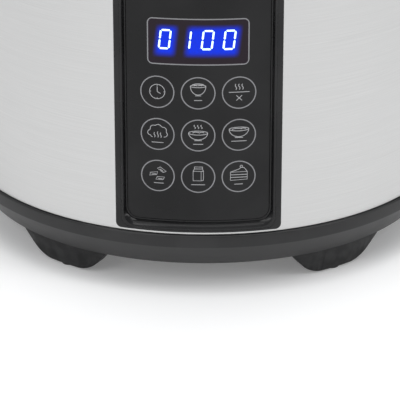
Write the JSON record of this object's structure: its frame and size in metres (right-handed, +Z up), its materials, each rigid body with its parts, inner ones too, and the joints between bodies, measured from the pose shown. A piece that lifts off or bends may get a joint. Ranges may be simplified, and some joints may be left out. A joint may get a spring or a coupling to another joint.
{
  "type": "yogurt maker",
  "caption": "Round hinged-lid electric cooker with a yoghurt program: brushed steel jacket, tall black touch panel, black base on wide feet, lift-out steam valve and bail handle.",
  "frame": {"origin": "on the floor under the vertical axis of the round body", "axes": "+Z up; the control panel faces -Y and the lid hinge is at +Y; +X is to the right seen from the front"},
  "size_m": [0.304, 0.3035, 0.2651],
  "materials": {
    "brushed_steel": "circumferentially brushed",
    "black_satin": "fine satin mould texture",
    "black_gloss": "polished",
    "panel_lens": "smooth satin-gloss printed lens",
    "dark_rubber": "matte",
    "plain_steel": "bright drawn",
    "cast_alloy": "satin",
    "pot_coating": "speckled non-stick inside, satin outside",
    "light_silicone": "matte translucent look",
    "smoke_plastic": "smoke tinted",
    "board_green": "solder mask",
    "wire_jacket": "smooth"
  },
  "bodies": {
    "housing": {"base_ring": "black_satin", "foot_pads": "dark_rubber", "bottom_cover": "black_satin", "base_screws": "plain_steel", "outer_shell": "brushed_steel", "collar": "black_gloss", "latch_keeper": "plain_steel", "control_fascia": "black_gloss", "panel_lens": "panel_lens", "display_module": "smoke_plastic", "control_board": "board_green", "touch_springs": "plain_steel", "buzzer": "dark_rubber", "power_board": "board_green", "power_components": "smoke_plastic", "power_inlet": "black_satin", "inlet_pins": "plain_steel", "mains_wires": "wire_jacket", "chamber": "cast_alloy", "chamber_posts": "cast_alloy", "side_heater": "light_silicone", "heating_plate": "cast_alloy", "heater_element": "plain_steel", "heater_standoffs": "cast_alloy", "thermal_fuse": "light_silicone", "sensor_housing": "black_satin", "sensor_spring": "plain_steel", "inner_pot": "pot_coating", "hinge_pin": "plain_steel", "hinge_spring": "plain_steel", "handle_pivots": "plain_steel", "cup_bracket": "black_satin"},
    "lid": {"lid_shell": "black_gloss", "lid_plate": "brushed_steel", "lid_liner": "black_satin", "lid_screws": "plain_steel", "inner_lid": "cast_alloy", "lid_gasket": "light_silicone", "inner_lid_grommet": "light_silicone", "latch_springs": "plain_steel", "latch_pin": "plain_steel"},
    "steam_valve": {"valve_body": "black_satin", "valve_cap": "black_gloss", "valve_seal": "light_silicone"},
    "button": {"latch_button": "black_gloss"},
    "hook": {"latch_hook": "cast_alloy"},
    "handle": {"carry_handle": "black_satin", "handle_grip": "dark_rubber"},
    "cup": {"condensate_cup": "smoke_plastic"},
    "sensor": {"sensor_cap": "cast_alloy"}
  },
  "joints": [
    {"name": "lid_hinge", "type": "hinge", "parent": "housing", "child": "lid", "pos_m": [0, 0.126, 0.23], "axis": [-1, 0, 0], "range_deg": [0, 85]},
    {"name": "handle_swing", "type": "hinge", "parent": "housing", "child": "handle", "pos_m": [0, 0.01, 0.209], "axis": [1, 0, 0], "range_deg": [0, 100]},
    {"name": "button_press", "type": "slide", "parent": "lid", "child": "button", "axis": [0, 0, -1], "range_m": [0, 0.0025], "stiffness_N_per_m": 400, "springref_m": -0.002, "deforming": ["latch_springs"]},
    {"name": "hook_turn", "type": "hinge", "parent": "lid", "child": "hook", "pos_m": [0, -0.132, 0.231], "axis": [1, 0, 0], "range_deg": [0, 11.5]},
    {"name": "valve_lift", "type": "slide", "parent": "lid", "child": "steam_valve", "axis": [0, 0, 1], "range_m": [0, 0.035]},
    {"name": "cup_pull", "type": "slide", "parent": "housing", "child": "cup", "axis": [0, 1, 0], "range_m": [0, 0.03]},
    {"name": "sensor_press", "type": "slide", "parent": "housing", "child": "sensor", "axis": [0, 0, -1], "range_m": [0, 0.002], "stiffness_N_per_m": 500, "springref_m": -0.004, "deforming": ["sensor_spring"]}
  ],
  "couplings": [
    {"joint": "hook_turn", "follows": "button_press", "rad_per_m": 80}
  ]
}
